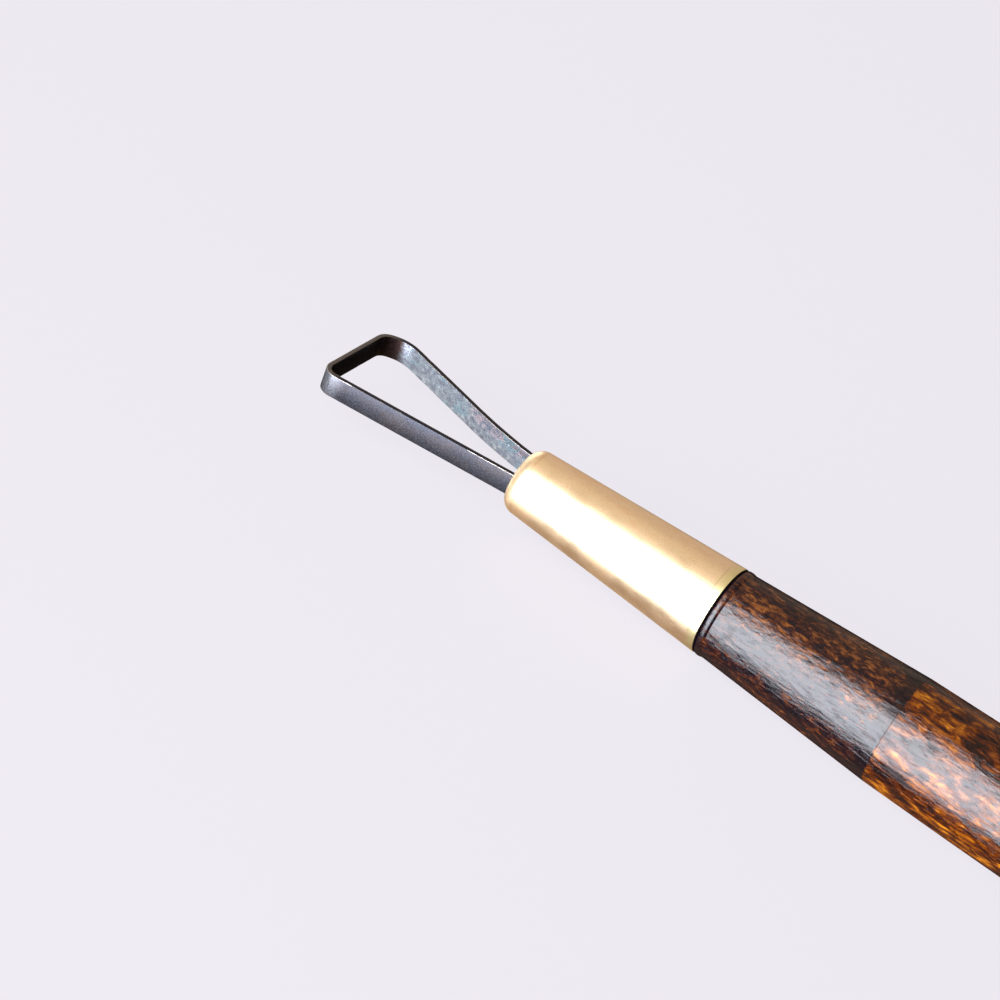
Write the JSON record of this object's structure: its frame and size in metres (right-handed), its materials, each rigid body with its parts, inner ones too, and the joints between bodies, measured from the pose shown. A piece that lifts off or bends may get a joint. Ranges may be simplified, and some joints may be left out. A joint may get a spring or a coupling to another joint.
{
  "type": "loop carving tool",
  "caption": "Hand carving tool: a bent flat-steel cutting loop set in a tapered brass ferrule on a turned, two-tone wooden handle.",
  "frame": {"origin": "on the tool's axis, in the middle of the handle's cylindrical grip", "axes": "+X along the tool's axis towards the cutting loop; the loop lies flat in the XY plane, its shorter-flared leg on +Y; +Z square to the loop"},
  "size_m": [0.2001, 0.0131, 0.0126],
  "materials": {
    "blued_steel": "heat-blued spring strip, satin, with temper colours and worn bright corners",
    "ferrule_brass": "satin drawn brass, lightly tarnished at both ends",
    "lacquered_wood": "amber-brown stain, near-black on the nose, under thick gloss lacquer",
    "plain_wood": "bare hardwood",
    "setting_resin": "dull brown cast resin"
  },
  "bodies": {
    "root": {"ribbon_loop": "blued_steel", "ferrule": "ferrule_brass", "handle": "lacquered_wood", "tang_wedge": "plain_wood", "resin_fill": "setting_resin"}
  },
  "joints": []
}
